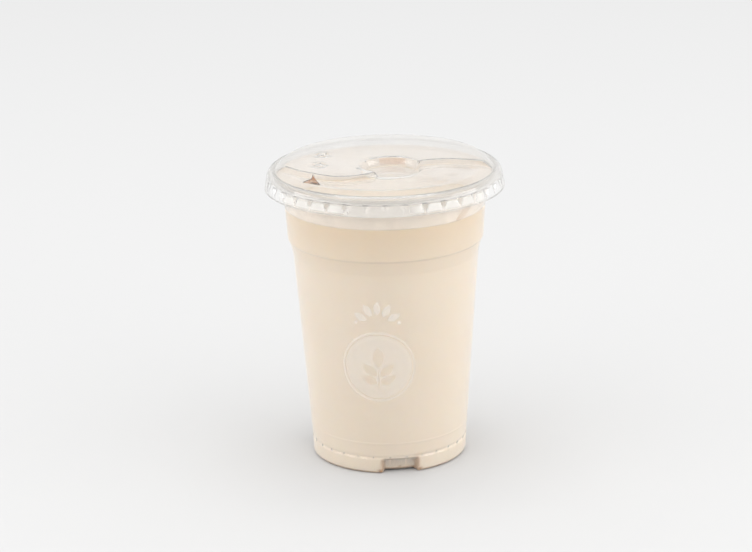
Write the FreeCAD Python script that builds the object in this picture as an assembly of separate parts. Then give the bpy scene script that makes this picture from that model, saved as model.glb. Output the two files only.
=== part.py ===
"""Iced milk tea in a clear tapered cup under a strawless sip lid.

Millimetres, +Z up, the cup's foot on z = 0 and the drinking side towards -Y.
Three solids: the thin-walled cup, the drink that fills it to its level, and
the formed lid that rests on the cup's rim.
"""

import FreeCAD
import Part
import math
import os

from FreeCAD import Vector

# ---- overall sizes ----------------------------------------------------------
RIM_DIAMETER = 95.6      # over the cup's rolled rim
CUP_HEIGHT = 123.4       # table to the top of the rim
FOOT_DIAMETER = 65.4     # over the foot ring
WALL = 0.6               # formed sheet of the cup
LID_WALL = 0.55          # formed sheet of the lid
HEADSPACE = 15.0         # rim down to the drink's surface

# ---- cup, radii counted in from the rim and heights down from it ------------
RIM_SECTION = 1.5        # half the height and width of the rolled rim
FLARE_DROP = 11.4        # rim down to where the wall starts to flare out
FLARE_IN = 5.7
BAND_DROP = 28.2         # rim down to the lower edge of the stacking band
BAND_IN = 6.9
SLOPE_DROP = 35.0        # rim down to the top of the long taper
SLOPE_IN = 8.9
GROOVE_HEIGHT = 7.2      # small groove that parts the foot from the wall
GROOVE_DEPTH = 0.5
GROOVE_HALF = 0.8
FOOT_CORNER = 0.9
FOOT_LAND = 2.2          # width of the flat ring that stands on the table
PUNT_HEIGHT = 4.4        # raised middle of the underside
PUNT_RUN = 3.0           # slope from the flat ring up to it
NOTCHES = 3              # indents round the foot
NOTCH_AT = 7.6           # degrees from the front, to the right
NOTCH_SPAN = 27.0        # degrees
NOTCH_DEPTH = 2.6
NOTCH_TOP = 6.2
RING_HEIGHT = 13.5       # faint ring low on the wall
RING_OUT = 0.22

# ---- lid --------------------------------------------------------------------
SKIRT_CLEARANCE = 0.95   # skirt's inside to the rim
SEAT_CLEARANCE = 0.05    # rim's top to the lid's channel
GRIP_CLEARANCE = 0.05    # flutes' inside to the widest part of the rim
LIP_OUT = 0.7            # lip beyond the skirt
LIP_THICK = 0.6
LID_DROP = 7.1           # the lip hangs this far below the top of the rim
SHOULDER_HEIGHT = 4.7    # lip to the widest part of the shoulder
CHANNEL_FLAT = 0.5       # fine channel inside the rounded shoulder, on the rim's top
CHANNEL_SIDE = 0.5
CHANNEL_DEPTH = 0.4
DECK_IN = 4.2            # channel to the edge of both decks
DECK_RISE = 1.1          # front deck above the shoulder's inner edge
STEP_RISE = 2.0          # rear deck above the front deck
STEP_DRAFT = 0.7         # run of the sloped step
STEP_LINE = [(-1.15, -0.01), (-1.0, -0.19), (-0.8, -0.42), (-0.48, -0.63), (-0.19, -0.575),
             (0.07, -0.335), (0.31, -0.12), (0.6, -0.045), (0.885, -0.11), (1.15, -0.22)]
WELL_CENTRE = (2.4, -9.4)     # round recess across the step
WELL_RADIUS = 12.4
WELL_FLOOR_RADIUS = 11.3
WELL_DEPTH = 1.5              # below the front deck
CROSS_LENGTH = 13.0           # straw cross scored in the recess
CROSS_WIDTH = 0.5
CROSS_DEPTH = 0.25
CROSS_TURN = 28.0
SIP_AT = 44.6                 # sip opening, degrees from the front, to the left
SIP_CORNERS = [(-3.8, 3.1), (3.8, -3.1), (0.4, 9.0)]   # from the deck's edge there
SIP_ROUND = 0.6
FLUTES = 38                   # V flutes round the skirt
FLUTE_WIDTH = 3.0
FLUTE_HEIGHT = 3.3

UP = Vector(0, 0, 1)


def offset_line(line, gap):
    """Return a line of (radius, height) moved sideways by gap, with mitred corners."""
    moved = []
    for i, (r, z) in enumerate(line):
        normals = []
        for a, b in ((i - 1, i), (i, i + 1)):
            if a >= 0 and b < len(line):
                dr, dz = line[b][0] - line[a][0], line[b][1] - line[a][1]
                run = math.hypot(dr, dz)
                normals.append((-dz / run, dr / run))
        nr = sum(n[0] for n in normals) / len(normals)
        nz = sum(n[1] for n in normals) / len(normals)
        scale = gap / (nr * nr + nz * nz)
        moved.append((r + nr * scale, z + nz * scale))
    return moved


def at_height(line, z):
    """Return the radius at which a rising line passes a height."""
    for (r0, z0), (r1, z1) in zip(line, line[1:]):
        if z0 <= z <= z1:
            return r0 + (r1 - r0) * (z - z0) / (z1 - z0)
    raise ValueError(z)


def outward(solid):
    """Return the solid with its faces looking outwards."""
    return solid.reversed() if solid.Volume < 0 else solid


def revolve(line):
    """Return the solid swept by a closed outline of (radius, height)."""
    points = [Vector(r, 0, z) for r, z in line]
    wire = Part.makePolygon(points + points[:1])
    return outward(Part.Face(wire).revolve(Vector(), UP, 360))


def turned(shape, degrees):
    """Return a copy of the shape turned about the cup's axis, to the right of the front."""
    copy = shape.copy()
    copy.rotate(Vector(), UP, degrees)
    return copy


def around(shape, count, start=0.0):
    """Return copies of a shape spread evenly round the axis."""
    return [turned(shape, start + 360.0 * k / count) for k in range(count)]


# ---- the cup's lines --------------------------------------------------------
RIM_RADIUS = RIM_DIAMETER / 2
FOOT_RADIUS = FOOT_DIAMETER / 2
RIM_CENTRE = (RIM_RADIUS - RIM_SECTION, CUP_HEIGHT - RIM_SECTION)
LEVEL = CUP_HEIGHT - HEADSPACE


def cup_line():
    """Return the outside of the cup, from the foot's corner to the rim's middle."""
    return [
        (FOOT_RADIUS - FOOT_CORNER, 0),
        (FOOT_RADIUS - FOOT_CORNER * 0.3, FOOT_CORNER * 0.3),
        (FOOT_RADIUS, FOOT_CORNER),
        (FOOT_RADIUS + 0.2, GROOVE_HEIGHT - GROOVE_HALF),
        (FOOT_RADIUS + 0.2 - GROOVE_DEPTH, GROOVE_HEIGHT),
        (FOOT_RADIUS + 0.3, GROOVE_HEIGHT + GROOVE_HALF),
        (RIM_RADIUS - SLOPE_IN, CUP_HEIGHT - SLOPE_DROP),
        (RIM_RADIUS - BAND_IN, CUP_HEIGHT - BAND_DROP),
        (RIM_RADIUS - FLARE_IN, CUP_HEIGHT - FLARE_DROP),
        (RIM_CENTRE[0] - 1.3, RIM_CENTRE[1] - 2.4),
        (RIM_CENTRE[0] - 0.9, CUP_HEIGHT),
    ]


def punt_line(gap=0.0):
    """Return the raised middle of the underside, grown by a sheet's thickness."""
    inner = FOOT_RADIUS - FOOT_CORNER - FOOT_LAND
    top = inner - PUNT_RUN
    return [
        (0, -5),
        (inner + gap + 0.5, -5),
        (inner + gap, gap * 0.4),
        (top + gap, PUNT_HEIGHT - 0.6 + gap),
        (top - 0.6 + gap * 0.4, PUNT_HEIGHT + gap),
        (0, PUNT_HEIGHT + gap),
    ]


def foot_notches(gap=0.0):
    """Return the three blunt wedges that dent the foot, grown inwards by a sheet's thickness."""
    outer, inner = FOOT_RADIUS + 4, FOOT_RADIUS - NOTCH_DEPTH - gap
    half = FOOT_RADIUS * math.sin(math.radians(NOTCH_SPAN / 2)) + gap
    top = NOTCH_TOP + gap
    side = [(outer, -5), (inner - 0.6, -5), (inner + 1.3, top), (outer, top)]
    points = [Vector(-half, -r, z) for r, z in side]
    wedge = Part.Face(Part.makePolygon(points + points[:1])).extrude(Vector(2 * half, 0, 0))
    return around(outward(wedge), NOTCHES, NOTCH_AT)


def build_cavity():
    """Return the space inside the cup, up to above the rim."""
    inside = offset_line(cup_line(), WALL)
    inside[0] = (inside[0][0], WALL)
    top = inside[-1][0]
    line = [(0, WALL)] + inside[:-1] + [(top, CUP_HEIGHT + 1), (0, CUP_HEIGHT + 1)]
    space = revolve(line).cut(revolve(punt_line(WALL)))
    return space.cut(Part.makeCompound(foot_notches(WALL)))


def build_cup(cavity):
    """Return the thin cup: outside less the cavity, with its rim, ring and notches."""
    line = [(0, 0)] + cup_line() + [(0, CUP_HEIGHT)]
    body = revolve(line)
    r, z = RIM_CENTRE
    s, c = RIM_SECTION, RIM_SECTION * 0.45
    bead = [(r - s * 0.8, z - c), (r - c, z - s), (r + c, z - s), (r + s, z - c), (r + s, z + c),
            (r + c, z + s), (r - s * 0.8, z + s)]
    wall = at_height(cup_line()[2:], RING_HEIGHT)
    ring = [(wall - 0.3, RING_HEIGHT - 0.7), (wall + RING_OUT, RING_HEIGHT), (wall - 0.3, RING_HEIGHT + 0.7)]
    body = body.fuse([revolve(bead), revolve(ring)])
    body = body.cut(revolve(punt_line()))
    body = body.cut(Part.makeCompound(foot_notches()))
    return body.cut(cavity).removeSplitter()


def build_drink(cavity):
    """Return the drink: all of the cavity below the level."""
    block = Part.makeCylinder(80, LEVEL + 10, Vector(0, 0, -10))
    return cavity.common(block).removeSplitter()


# ---- the lid's lines --------------------------------------------------------
SKIRT = RIM_RADIUS + SKIRT_CLEARANCE + LID_WALL
LIP = SKIRT + LIP_OUT
LIP_FLOOR = CUP_HEIGHT - LID_DROP
CHANNEL_RADIUS = RIM_CENTRE[0] - 0.2
CHANNEL_FLOOR = CUP_HEIGHT + SEAT_CLEARANCE + LID_WALL
RING_TOP = CHANNEL_FLOOR + CHANNEL_DEPTH
DECK_RADIUS = CHANNEL_RADIUS - DECK_IN
FRONT_DECK = RING_TOP + DECK_RISE
REAR_DECK = FRONT_DECK + STEP_RISE
FLUTE_DEPTH = SKIRT_CLEARANCE - GRIP_CLEARANCE


def lid_line(deck):
    """Return the outside of the lid, from the lip up the skirt and in to a deck's middle."""
    widest = LIP_FLOOR + SHOULDER_HEIGHT
    ring = CHANNEL_RADIUS + CHANNEL_FLAT / 2 + CHANNEL_SIDE
    drop, run = RING_TOP - widest, SKIRT - ring
    return [
        (SKIRT + 0.1, LIP_FLOOR),
        (SKIRT, widest),
        (SKIRT - run * 0.16, widest + drop * 0.48),
        (SKIRT - run * 0.50, widest + drop * 0.84),
        (ring, RING_TOP),
        (CHANNEL_RADIUS + CHANNEL_FLAT / 2, CHANNEL_FLOOR),
        (CHANNEL_RADIUS - CHANNEL_FLAT / 2, CHANNEL_FLOOR),
        (DECK_RADIUS, deck),
        (0, deck),
    ]


def step_curve(shift):
    """Return the line between the decks, moved towards the front by shift."""
    base = Part.BSplineCurve()
    base.interpolate([Vector(x, y, 0) * DECK_RADIUS for x, y in STEP_LINE])
    moved = []
    for k in range(15):
        u = base.FirstParameter + (base.LastParameter - base.FirstParameter) * k / 14
        along = base.tangent(u)[0]
        moved.append(base.value(u) + Vector(along.y, -along.x, 0) * shift)
    curve = Part.BSplineCurve()
    curve.interpolate(moved)
    return curve


def rear_block(shift_low, low, shift_high, high):
    """Return the block behind the step, its front sloped between two heights."""
    wires = []
    for shift, z in ((shift_low, low), (shift_high, high)):
        curve = step_curve(shift)
        curve.translate(Vector(0, 0, z))
        a, b = curve.StartPoint, curve.EndPoint
        right, left = Vector(b.x, SKIRT, z), Vector(a.x, SKIRT, z)
        back = [Part.LineSegment(*ends).toShape() for ends in ((b, right), (right, left), (left, a))]
        wires.append(Part.Wire([curve.toShape()] + back))
    return outward(Part.makeLoft(wires, True, True))


def lid_solid(gap):
    """Return the lid filled down to the lip, with every face moved inwards by gap."""
    def filled(deck):
        line = offset_line(lid_line(deck), gap)
        line[-1] = (0, line[-1][1])
        return revolve([(0, LIP_FLOOR - 1), (line[0][0], LIP_FLOOR - 1)] + line)

    low, high = CHANNEL_FLOOR - gap - 0.5, REAR_DECK - gap
    slope = STEP_DRAFT / STEP_RISE
    foot = slope * (FRONT_DECK - gap - low)
    peak = slope * (high - FRONT_DECK + gap)
    block = rear_block(STEP_DRAFT + foot - gap, low, STEP_DRAFT - peak - gap, high)
    body = filled(FRONT_DECK).fuse(filled(REAR_DECK).common(block))
    floor = FRONT_DECK - WELL_DEPTH - gap
    fall = REAR_DECK - floor
    flare = (WELL_RADIUS - WELL_FLOOR_RADIUS) / (STEP_RISE + WELL_DEPTH)
    x, y = WELL_CENTRE
    radius = WELL_FLOOR_RADIUS + gap
    well = Part.makeCone(radius, radius + flare * (fall + 2), fall + 2, Vector(x, y, floor))
    return body.cut(well)


def flute(gap=0.0):
    """Return one V flute: wide under the shoulder, narrowing down to a point."""
    depth, reach = FLUTE_DEPTH, FLUTE_DEPTH + 1.0
    k = reach / depth
    top = LIP_FLOOR + SHOULDER_HEIGHT - 0.4 + gap * 0.6
    apex = Vector(0, -(SKIRT - depth - gap), top)
    face = -(SKIRT + 1.0 - gap)
    base = [Vector(-FLUTE_WIDTH / 2 * k, face, top), Vector(FLUTE_WIDTH / 2 * k, face, top),
            Vector(0, face, top - FLUTE_HEIGHT * k)]
    faces = [Part.Face(Part.makePolygon([base[0], base[1], base[2], base[0]]))]
    for a, b in ((0, 1), (1, 2), (2, 0)):
        faces.append(Part.Face(Part.makePolygon([base[a], base[b], apex, base[a]])))
    return outward(Part.makeSolid(Part.makeShell(faces)))


def sip_opening():
    """Return the rounded triangle cut through the front deck near its edge."""
    turn = math.radians(SIP_AT)
    x0, y0 = -DECK_RADIUS * math.sin(turn), -DECK_RADIUS * math.cos(turn)
    corners = [Vector(x0 + x, y0 + y, FRONT_DECK - 5) for x, y in SIP_CORNERS]
    prism = outward(Part.Face(Part.makePolygon(corners + corners[:1])).extrude(Vector(0, 0, 10)))
    upright = [e for e in prism.Edges if e.BoundBox.ZLength > 9]
    return prism.makeFillet(SIP_ROUND, upright)


def straw_cross():
    """Return the two shallow scores in the floor of the round recess."""
    bars = []
    for turn in (CROSS_TURN, CROSS_TURN + 90):
        bar = Part.makeBox(CROSS_LENGTH, CROSS_WIDTH, 2, Vector(-CROSS_LENGTH / 2, -CROSS_WIDTH / 2, 0))
        bar.rotate(Vector(), UP, turn)
        bar.translate(Vector(*WELL_CENTRE, FRONT_DECK - WELL_DEPTH - CROSS_DEPTH))
        bars.append(bar)
    return bars[0].fuse(bars[1])


def build_lid():
    """Return the formed lid: outside less inside, with lip, flutes, recess and sip opening."""
    flange = [(SKIRT - 0.3, LIP_FLOOR), (LIP, LIP_FLOOR), (LIP, LIP_FLOOR + LIP_THICK),
              (SKIRT - 0.3, LIP_FLOOR + LIP_THICK + 0.3)]
    outside = lid_solid(0.0).fuse(revolve(flange))
    outside = outside.cut(Part.makeCompound(around(flute(), FLUTES)))
    inside = lid_solid(LID_WALL).cut(Part.makeCompound(around(flute(LID_WALL), FLUTES)))
    lid = outside.cut(inside)
    below = Part.makeCylinder(80, 10, Vector(0, 0, LIP_FLOOR - 10))
    lid = lid.cut(below)
    return lid.cut([sip_opening(), straw_cross()]).removeSplitter()


def save(shape, node):
    """Check that a shape is one closed solid and write it out."""
    solids = shape.Solids
    if len(solids) != 1 or not solids[0].isValid():
        raise RuntimeError("%s: %d solids, valid %s" % (node, len(solids), shape.isValid()))
    solids[0].exportStep("parts/%s.step" % node)


def main():
    """Build the three solids."""
    os.makedirs("parts", exist_ok=True)
    cavity = build_cavity()
    save(build_cup(cavity), "cup")
    save(build_drink(cavity), "drink")
    save(build_lid(), "lid")


main()
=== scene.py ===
"""Iced milk tea in a clear formed cup under a clear strawless sip lid.

The pieces are made here over the frame's three nodes: the cup's sheet, the
drink inside it and the lid's sheet, with their finishes, a plain printed mark,
traces of tea and milk, and a plain pale studio. Sizes are in millimetres, and
MM turns them to the scene's metres.
"""

import logging
import math
from dataclasses import dataclass, field
from enum import Enum
from typing import Callable, Iterable, Sequence

import bmesh  # noqa: E402
import bpy  # noqa: E402
from mathutils import Matrix, Vector  # noqa: E402
from mathutils.geometry import delaunay_2d_cdt  # noqa: E402

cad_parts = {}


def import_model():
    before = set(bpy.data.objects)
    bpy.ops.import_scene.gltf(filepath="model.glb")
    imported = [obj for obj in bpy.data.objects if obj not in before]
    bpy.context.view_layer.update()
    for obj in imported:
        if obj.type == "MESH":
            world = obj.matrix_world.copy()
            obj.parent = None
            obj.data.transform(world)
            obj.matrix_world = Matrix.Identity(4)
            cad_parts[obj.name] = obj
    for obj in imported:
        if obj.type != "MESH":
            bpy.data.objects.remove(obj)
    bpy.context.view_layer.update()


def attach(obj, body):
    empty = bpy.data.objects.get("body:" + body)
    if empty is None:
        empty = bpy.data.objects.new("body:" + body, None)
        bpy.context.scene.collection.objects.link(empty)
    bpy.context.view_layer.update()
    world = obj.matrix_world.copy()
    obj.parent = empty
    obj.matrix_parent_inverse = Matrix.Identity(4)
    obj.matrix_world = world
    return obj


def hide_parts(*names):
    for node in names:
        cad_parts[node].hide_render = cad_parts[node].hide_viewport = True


LOG = logging.getLogger("iced_tea")
MM = 0.001

# in metres: vertices this close are one, and edges this short are none
WELD = 2e-6
SLIVER = 1e-7

# a profile as radius and height, its corners with their rounding, and a line of plan points
Line = list[tuple[float, float]]
Corners = list[tuple[float, float, float]]
Outline = list[Vector]


# ---------------------------------------------------------------------------
# small shared tools
# ---------------------------------------------------------------------------
def linear(code: str) -> tuple[float, float, float, float]:
    """Turn an sRGB hex colour into linear values.

    Args:
        code: six hex digits, without a hash mark.

    Returns:
        Red, green, blue and an alpha of one.
    """
    parts = [int(code[k:k + 2], 16) / 255 for k in (0, 2, 4)]
    flat = [c / 12.92 if c <= 0.04045 else ((c + 0.055) / 1.055) ** 2.4 for c in parts]
    return (flat[0], flat[1], flat[2], 1.0)


def smooth(low: float, high: float, value: float) -> float:
    """Return a soft step from 0 at low to 1 at high."""
    t = min(1.0, max(0.0, (value - low) / (high - low)))
    return t * t * (3 - 2 * t)


def hump(off: float, width: float) -> float:
    """Return a soft hump that is 1 where off is 0 and fades over the width."""
    return math.exp(-(off / width) ** 2)


def azimuth(p: Vector) -> float:
    """Return a point's angle about the upright axis in degrees, from the front to the right."""
    return math.degrees(math.atan2(p.x, -p.y))


def off_nearest(p: Vector, count: int, first: float = 0.0) -> float:
    """Return how many degrees a point lies from the nearest of evenly placed features.

    Args:
        p: the point.
        count: how many features stand round the axis.
        first: azimuth of one of them.

    Returns:
        The angle between them, never negative.
    """
    pitch = 360 / count
    return abs((azimuth(p) - first + pitch / 2) % pitch - pitch / 2)


def node(tree: bpy.types.NodeTree, kind: str, settings: dict | None = None,
         links: dict | None = None) -> bpy.types.Node:
    """Add a node with its settings and incoming links.

    Args:
        tree: the tree that gets the node.
        kind: the node's type name.
        settings: attributes, or values of inputs by name or number.
        links: output sockets by the name or number of the input they feed.

    Returns:
        The new node.
    """
    made = tree.nodes.new(kind)
    for key, value in (settings or {}).items():
        if isinstance(key, str) and hasattr(made, key):
            setattr(made, key, value)
        else:
            made.inputs[key].default_value = value
    for key, socket in (links or {}).items():
        tree.links.new(socket, made.inputs[key])
    return made


def blank_material(name: str) -> tuple[bpy.types.Material, bpy.types.NodeTree, bpy.types.Node]:
    """Start a material with an empty tree.

    Args:
        name: the finish's name.

    Returns:
        The material, its tree and the tree's output node.
    """
    material = bpy.data.materials.new(name)
    material.use_nodes = True
    tree = material.node_tree
    tree.nodes.clear()
    return material, tree, node(tree, "ShaderNodeOutputMaterial")


def lay_over(tree: bpy.types.NodeTree, output: bpy.types.Node, share: bpy.types.NodeSocket,
             coat: bpy.types.Node) -> None:
    """Finish a thin layer's tree, so that what lies behind shows through it.

    Args:
        tree: the layer's tree.
        output: the tree's output node.
        share: how much the coat covers.
        coat: the coat's shader.
    """
    clear = node(tree, "ShaderNodeBsdfTransparent")
    shader = node(tree, "ShaderNodeMixShader", None,
                  {0: share, 1: clear.outputs[0], 2: coat.outputs[0]})
    tree.links.new(shader.outputs[0], output.inputs["Surface"])


def bend(start: Vector, corner: Vector, end: Vector, steps: int) -> Outline:
    """Draw a smooth bend that starts and ends along a corner's two sides.

    Args:
        start: where it leaves the first side.
        corner: where the sides would meet.
        end: where it joins the second side.
        steps: its number of pieces.

    Returns:
        The bend's points, both ends included.
    """
    shares = [k / steps for k in range(steps + 1)]
    return [start * (1 - t) ** 2 + corner * 2 * t * (1 - t) + end * t * t for t in shares]


def rounded(corners: Corners, steps: int = 5) -> Line:
    """Round a profile's corners.

    Args:
        corners: each corner's radius and height, and its rounding or 0 to stay sharp.
        steps: pieces in each bend.

    Returns:
        The profile, with a bend in place of each rounded corner.
    """
    out: Line = []
    for i, (radius, height, rounding) in enumerate(corners):
        if not rounding:
            out.append((radius, height))
            continue
        here = Vector((radius, height))
        before, after = Vector(corners[i - 1][:2]) - here, Vector(corners[i + 1][:2]) - here
        most = 0.49 * min(before.length, after.length)
        reach = min(rounding / math.tan(before.angle(after) / 2), most)
        start, end = here + before.normalized() * reach, here + after.normalized() * reach
        out += [(p.x, p.y) for p in bend(start, here, end, steps)]
    return out


def finer(line: Line, longest: float) -> Line:
    """Split a profile's long stretches.

    Args:
        line: the profile.
        longest: the greatest length that a stretch may keep.

    Returns:
        The same profile with more points.
    """
    out: Line = [line[0]]
    for a, b in zip(line, line[1:]):
        count = max(1, math.ceil(math.dist(a, b) / longest))
        out += [(a[0] + (b[0] - a[0]) * k / count, a[1] + (b[1] - a[1]) * k / count)
                for k in range(1, count + 1)]
    return out


def spun(line: Line, turns: int) -> bmesh.types.BMesh:
    """Spin an open profile about the upright axis.

    Args:
        line: profile as radius and height.
        turns: steps round the axis.

    Returns:
        The surface in metres, with its poles and seam closed.
    """
    bm = bmesh.new()
    points = [bm.verts.new((r * MM, 0, z * MM)) for r, z in line]
    edges = [bm.edges.new(pair) for pair in zip(points, points[1:])]
    bmesh.ops.spin(bm, geom=points + edges, cent=(0, 0, 0), axis=(0, 0, 1), angle=math.tau,
                   steps=turns, use_merge=True)
    bmesh.ops.remove_doubles(bm, verts=bm.verts, dist=WELD)
    bmesh.ops.dissolve_degenerate(bm, edges=bm.edges, dist=SLIVER)
    return bm


def ring(centre: Sequence[float], radius: float, count: int, tall: float = 1.0,
         turn: float = 0.0) -> Outline:
    """Draw a closed oval.

    Args:
        centre: its middle.
        radius: half its width.
        count: number of points.
        tall: its height over its width.
        turn: its turn in degrees.

    Returns:
        The points, turned about the middle.
    """
    spin = Matrix.Rotation(math.radians(turn), 2)
    return [Vector(centre) + spin @ Vector((radius * math.cos(math.tau * k / count),
                                            radius * tall * math.sin(math.tau * k / count)))
            for k in range(count)]


def middle_of(outline: Outline) -> Vector:
    """Return the middle of an outline's points."""
    return sum(outline, Vector((0, 0))) / len(outline)


def grown(outline: Outline, factor: float) -> Outline:
    """Return an outline made larger or smaller about its middle."""
    middle = middle_of(outline)
    return [middle + (p - middle) * factor for p in outline]


def spread(start: Sequence[float], pitch: tuple[float, float], across: range, up: range,
           stagger: float = 0.0) -> list[Vector]:
    """Spread points over a plan in even rows.

    Args:
        start: the place of column 0 in row 0.
        pitch: steps across and up.
        across: the columns' numbers.
        up: the rows' numbers.
        stagger: how far every other row is moved across.

    Returns:
        The points.
    """
    return [Vector((start[0] + i * pitch[0] + (j % 2) * stagger, start[1] + j * pitch[1]))
            for i in across for j in up]


def inside_outlines(p: Vector, outlines: Iterable[Outline]) -> bool:
    """Tell where a point lies.

    Args:
        p: the point.
        outlines: closed outlines.

    Returns:
        Whether the point lies inside an odd number of them.
    """
    odd = False
    for outline in outlines:
        for i, a in enumerate(outline):
            b = outline[(i + 1) % len(outline)]
            crosses = (a.y > p.y) != (b.y > p.y)
            if crosses and p.x < a.x + (b.x - a.x) * (p.y - a.y) / (b.y - a.y):
                odd = not odd
    return odd


def flat_sheet(closed: list[Outline], lines: list[Outline], spots: list[Vector],
               keep: Callable[[Vector], bool], place: Callable[[Vector], Vector]) -> bmesh.types.BMesh:
    """Fill a plan with a mesh that follows given lines, then give it its form.

    No operator fills a plan with inner lines at an even grain, so the plan is
    triangulated here and shaped by place.

    Args:
        closed: closed outlines that mesh edges follow.
        lines: open lines that mesh edges follow.
        spots: more points, for an even grain.
        keep: whether a triangle stays, from its middle.
        place: from a plan point to its place in millimetres.

    Returns:
        The surface in metres.
    """
    verts: list[Vector] = []
    edges: list[tuple[int, int]] = []
    for points, loop in [(c, True) for c in closed] + [(c, False) for c in lines]:
        first = len(verts)
        verts.extend(points)
        edges.extend((first + k, first + k + 1) for k in range(len(points) - 1))
        if loop:
            edges.append((first + len(points) - 1, first))
    flat, _, faces, *_ = delaunay_2d_cdt(verts + spots, edges, [], 0, 1e-4)
    bm = bmesh.new()
    made = [bm.verts.new(place(p) * MM) for p in flat]
    for corners in faces:
        if keep(middle_of([flat[c] for c in corners])):
            bm.faces.new([made[c] for c in corners])
    bmesh.ops.delete(bm, geom=[v for v in bm.verts if not v.link_faces], context="VERTS")
    return bm


def filled(outlines: list[Outline], spots: list[Vector],
           place: Callable[[Vector], Vector]) -> bmesh.types.BMesh:
    """Fill what lies inside an odd number of outlines.

    Args:
        outlines: closed outlines, of which inner ones leave open or fill again.
        spots: more points, for an even grain.
        place: from a plan point to its place in millimetres.

    Returns:
        The surface in metres.
    """
    return flat_sheet(outlines, [], spots, lambda p: inside_outlines(p, outlines), place)


def move(bm: bmesh.types.BMesh, shift: Callable[[Vector], Vector]) -> None:
    """Move every vertex to what shift gives for its place in millimetres."""
    for v in bm.verts:
        v.co = shift(v.co / MM) * MM


def note(bm: bmesh.types.BMesh, name: str, value: Callable[[Vector], float]) -> None:
    """Write a value for each vertex, for a finish to read.

    Args:
        bm: the mesh.
        name: the value's name.
        value: from a vertex's place in millimetres to its value.
    """
    layer = bm.verts.layers.float.new(name)
    for v in bm.verts:
        v[layer] = value(v.co / MM)


def face_out(bm: bmesh.types.BMesh, face: bmesh.types.BMFace, out: Vector) -> None:
    """Make an open sheet's faces agree, and turn them so that one face looks out.

    Args:
        bm: the sheet.
        face: the face that decides.
        out: the way in which that face has to look.
    """
    bmesh.ops.recalc_face_normals(bm, faces=bm.faces)
    if face.normal.dot(out) < 0:
        bmesh.ops.reverse_faces(bm, faces=bm.faces)


def finish_piece(name: str, bm: bmesh.types.BMesh, material: bpy.types.Material,
                 replaced: str | None = None, sharp: float = 40.0, sheet: float = 0.0,
                 outward: bool = True) -> bpy.types.Object:
    """Turn a bmesh into a finished piece of the object.

    Args:
        name: the piece's name.
        bm: its mesh, freed here.
        material: its finish.
        replaced: the frame's node that it stands for.
        sharp: edges steeper than this many degrees stay sharp.
        sheet: wall in millimetres given inwards by a solidify modifier, or none.
        outward: recalculate the faces to look outwards first.

    Returns:
        The object, at the origin and riding on the frame's body.
    """
    if outward:
        bmesh.ops.recalc_face_normals(bm, faces=bm.faces)
    for face in bm.faces:
        face.smooth = True
    mesh = bpy.data.meshes.new(name)
    bm.to_mesh(mesh)
    bm.free()
    mesh.set_sharp_from_angle(angle=math.radians(sharp))
    piece = bpy.data.objects.new(name, mesh)
    bpy.context.scene.collection.objects.link(piece)
    mesh.materials.append(material)
    if sheet:
        wall = piece.modifiers.new("wall", "SOLIDIFY")
        wall.thickness = sheet * MM
        wall.offset = -1
        wall.use_even_offset = True
    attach(piece, "root")
    if replaced:
        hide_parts(replaced)
    LOG.info("%s: %d faces", name, len(mesh.polygons))
    return piece


# ---------------------------------------------------------------------------
# finishes
# ---------------------------------------------------------------------------
class Clarity(Enum):
    """How clean a clear sheet is."""

    CLEAN = "clean"
    MISTED = "misted"


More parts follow.
